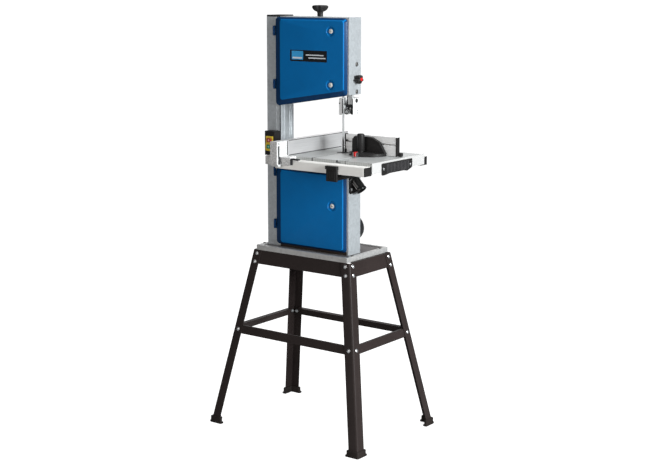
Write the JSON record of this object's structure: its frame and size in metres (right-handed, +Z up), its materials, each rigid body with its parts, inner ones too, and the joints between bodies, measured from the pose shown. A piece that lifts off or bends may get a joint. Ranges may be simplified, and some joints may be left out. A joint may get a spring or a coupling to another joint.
{
  "type": "band saw",
  "caption": "Upright two-wheel woodworking band saw on a splayed steel stand, with blue wheel-case doors, tilting and extending table, rip fence and mitre gauge.",
  "frame": {"origin": "on the floor, midway between the four feet of the stand", "axes": "+Z up, -Y out of the wheel-case doors (front), +X from the column towards the blade"},
  "size_m": [0.7125, 0.5285, 1.512],
  "materials": {
    "stand_paint": "satin brown-black powder coat",
    "zinc": "zinc plated",
    "foot_rubber": "moulded black rubber",
    "galvanised": "galvanised sheet with spangle",
    "tray_paint": "grey-brown sheet, satin",
    "door_paint": "gloss blue enamel",
    "cast_alloy": "cast, machined faces",
    "tyre_rubber": "vulcanised tyre",
    "bearing_steel": "polished",
    "shaft_steel": "turned steel",
    "pressed_steel": "pressed steel, oiled",
    "black_plastic": "moulded black plastic",
    "gloss_black": "polished black plastic",
    "motor_paint": "black paint on cast ribs",
    "belt_rubber": "ribbed belt",
    "blade_steel": "spring steel strip",
    "guide_black": "blackened casting",
    "guard_metal": "bright folded sheet",
    "table_alloy": "ground, fine grooves front to back",
    "rail_alloy": "off-white coated extrusion",
    "fence_alloy": "satin anodised extrusion",
    "fence_casting": "grey hammered paint on a casting",
    "insert_plastic": "dark plastic",
    "switch_yellow": "moulded yellow plastic",
    "stop_red": "moulded red plastic",
    "start_green": "moulded green plastic"
  },
  "bodies": {
    "frame": {"stand_legs": "stand_paint", "stand_rails": "stand_paint", "stand_braces": "stand_paint", "rubber_feet": "foot_rubber", "stand_bolts": "zinc", "base_tray": "tray_paint", "column": "galvanised", "column_cap": "black_plastic", "upper_case": "galvanised", "lower_case": "galvanised", "hinge_pins": "zinc", "shaft_bearings": "bearing_steel", "motor": "motor_paint", "drive_belt": "belt_rubber", "blade": "blade_steel", "lower_guide": "guide_black", "dust_port": "gloss_black", "switch_box": "black_plastic", "switch_plate": "switch_yellow"},
    "upper_door": {"upper_door": "door_paint"},
    "lower_door": {"lower_door": "door_paint"},
    "upper_latch_top": {"upper_latch_top": "zinc"},
    "upper_latch_bottom": {"upper_latch_bottom": "zinc"},
    "lower_latch": {"lower_latch": "zinc"},
    "tension_screw": {"tension_knob": "black_plastic"},
    "tension_carriage": {"tension_block": "pressed_steel", "tension_spring": "shaft_steel"},
    "wheel_mount": {"upper_axle": "shaft_steel"},
    "upper_wheel": {"upper_wheel": "cast_alloy", "upper_tyre": "tyre_rubber", "upper_bearings": "bearing_steel"},
    "tracking_screw": {"tracking_knob": "black_plastic"},
    "lower_wheel": {"lower_wheel": "cast_alloy", "lower_tyre": "tyre_rubber", "drive_shaft": "shaft_steel"},
    "motor_pulley": {"motor_pulley": "shaft_steel"},
    "guide_carrier": {"guide_post": "shaft_steel", "guide_bracket": "guide_black", "side_guides": "shaft_steel", "blade_guard": "guard_metal"},
    "thrust_bearing": {"thrust_bearing": "bearing_steel"},
    "guide_lock": {"guide_lock_knob": "black_plastic"},
    "table": {"table": "table_alloy", "table_insert": "insert_plastic", "table_rails": "rail_alloy", "rail_end_caps": "black_plastic", "trunnion": "guide_black"},
    "tilt_lock": {"tilt_knob": "black_plastic"},
    "extension": {"extension_table": "table_alloy", "extension_grip": "black_plastic"},
    "extension_clamp": {"extension_clamp": "black_plastic"},
    "fence": {"fence_head": "fence_casting", "fence_bar": "fence_alloy"},
    "fence_lever": {"fence_lever": "fence_casting"},
    "mitre_slide": {"mitre_bar": "shaft_steel"},
    "mitre_gauge": {"mitre_head": "black_plastic", "mitre_fence": "fence_alloy"},
    "mitre_grip": {"mitre_grip": "black_plastic"},
    "stop_button": {"stop_button": "stop_red"},
    "start_button": {"start_button": "start_green"}
  },
  "joints": [
    {"name": "upper_door_hinge", "type": "hinge", "parent": "frame", "child": "upper_door", "pos_m": [-0.15, -0.081, 1.3295], "axis": [0, 0, -1], "range_deg": [0, 120]},
    {"name": "lower_door_hinge", "type": "hinge", "parent": "frame", "child": "lower_door", "pos_m": [-0.15, -0.081, 0.8295], "axis": [0, 0, -1], "range_deg": [0, 120]},
    {"name": "upper_latch_top_turn", "type": "hinge", "parent": "upper_door", "child": "upper_latch_top", "pos_m": [0.104, -0.08, 1.426], "axis": [0, -1, 0], "range_deg": [0, 90]},
    {"name": "upper_latch_bottom_turn", "type": "hinge", "parent": "upper_door", "child": "upper_latch_bottom", "pos_m": [0.103, -0.08, 1.243], "axis": [0, 1, 0], "range_deg": [0, 90]},
    {"name": "lower_latch_turn", "type": "hinge", "parent": "lower_door", "child": "lower_latch", "pos_m": [0.11, -0.08, 0.824], "axis": [0, -1, 0], "range_deg": [0, 90]},
    {"name": "tension_screw_turn", "type": "hinge", "parent": "frame", "child": "tension_screw", "pos_m": [0.005, -0.016, 1.5], "axis": [0, 0, 1], "range_deg": [-2909, 29]},
    {"name": "tension_slide", "type": "slide", "parent": "frame", "child": "tension_carriage", "axis": [0, 0, 1], "range_m": [-0.01, 0]},
    {"name": "tracking_turn", "type": "hinge", "parent": "tension_carriage", "child": "tracking_screw", "pos_m": [-0.003, 0, 1.322], "axis": [0, 1, 0], "range_deg": [-147.6, 147.6]},
    {"name": "wheel_tilt", "type": "hinge", "parent": "tension_carriage", "child": "wheel_mount", "pos_m": [-0.003, -0.024, 1.335], "axis": [1, 0, 0], "range_deg": [-0.4, 0.4]},
    {"name": "upper_wheel_spin", "type": "hinge", "parent": "wheel_mount", "child": "upper_wheel", "pos_m": [-0.003, -0.046, 1.335], "axis": [0, 1, 0], "continuous": true},
    {"name": "lower_wheel_spin", "type": "hinge", "parent": "frame", "child": "lower_wheel", "pos_m": [-0.003, -0.046, 0.8], "axis": [0, 1, 0], "continuous": true},
    {"name": "motor_spin", "type": "hinge", "parent": "frame", "child": "motor_pulley", "pos_m": [0.068, -0.029, 0.719], "axis": [0, 1, 0], "continuous": true},
    {"name": "guide_slide", "type": "slide", "parent": "frame", "child": "guide_carrier", "axis": [0, 0, 1], "range_m": [-0.06, 0]},
    {"name": "thrust_bearing_spin", "type": "hinge", "parent": "guide_carrier", "child": "thrust_bearing", "pos_m": [0.136, -0.0358, 1.15], "axis": [0, 1, 0], "continuous": true},
    {"name": "guide_lock_turn", "type": "hinge", "parent": "frame", "child": "guide_lock", "pos_m": [0.186, -0.036, 1.264], "axis": [1, 0, 0], "range_deg": [-180, 0]},
    {"name": "table_tilt", "type": "hinge", "parent": "frame", "child": "table", "pos_m": [0.127, -0.07, 1.009], "axis": [0, 1, 0], "range_deg": [0, 45]},
    {"name": "tilt_lock_turn", "type": "hinge", "parent": "frame", "child": "tilt_lock", "pos_m": [0.127, -0.01, 0.964], "axis": [0, 1, 0], "range_deg": [-120, 0]},
    {"name": "extension_slide", "type": "slide", "parent": "table", "child": "extension", "axis": [1, 0, 0], "range_m": [0, 0.12]},
    {"name": "extension_clamp_turn", "type": "hinge", "parent": "table", "child": "extension_clamp", "pos_m": [0.243, -0.2, 0.954], "axis": [0, 1, 0], "range_deg": [0, 40]},
    {"name": "fence_slide", "type": "slide", "parent": "table", "child": "fence", "axis": [1, 0, 0], "range_m": [0, 0.045]},
    {"name": "fence_lever_turn", "type": "hinge", "parent": "fence", "child": "fence_lever", "pos_m": [0.0135, -0.275, 0.984], "axis": [1, 0, 0], "range_deg": [0, 80]},
    {"name": "mitre_slide_along", "type": "slide", "parent": "table", "child": "mitre_slide", "axis": [0, 1, 0], "range_m": [-0.09, 0.075]},
    {"name": "mitre_swivel", "type": "hinge", "parent": "mitre_slide", "child": "mitre_gauge", "pos_m": [0.236, -0.044, 1.015], "axis": [0, 0, 1], "range_deg": [-45, 45]},
    {"name": "mitre_grip_turn", "type": "hinge", "parent": "mitre_gauge", "child": "mitre_grip", "pos_m": [0.216, -0.066, 1.05], "axis": [0, 0, 1], "range_deg": [0, 180]},
    {"name": "stop_press", "type": "slide", "parent": "frame", "child": "stop_button", "axis": [0, 1, 0], "range_m": [0, 0.003], "stiffness_N_per_m": 300},
    {"name": "start_press", "type": "slide", "parent": "frame", "child": "start_button", "axis": [0, 1, 0], "range_m": [0, 0.003], "stiffness_N_per_m": 300}
  ],
  "couplings": [
    {"joint": "tension_screw_turn", "follows": "tension_slide", "rad_per_m": 5026.5},
    {"joint": "tracking_turn", "follows": "wheel_tilt", "ratio": 360},
    {"joint": "upper_wheel_spin", "follows": "lower_wheel_spin", "ratio": 1},
    {"joint": "motor_spin", "follows": "lower_wheel_spin", "ratio": 2.5}
  ]
}
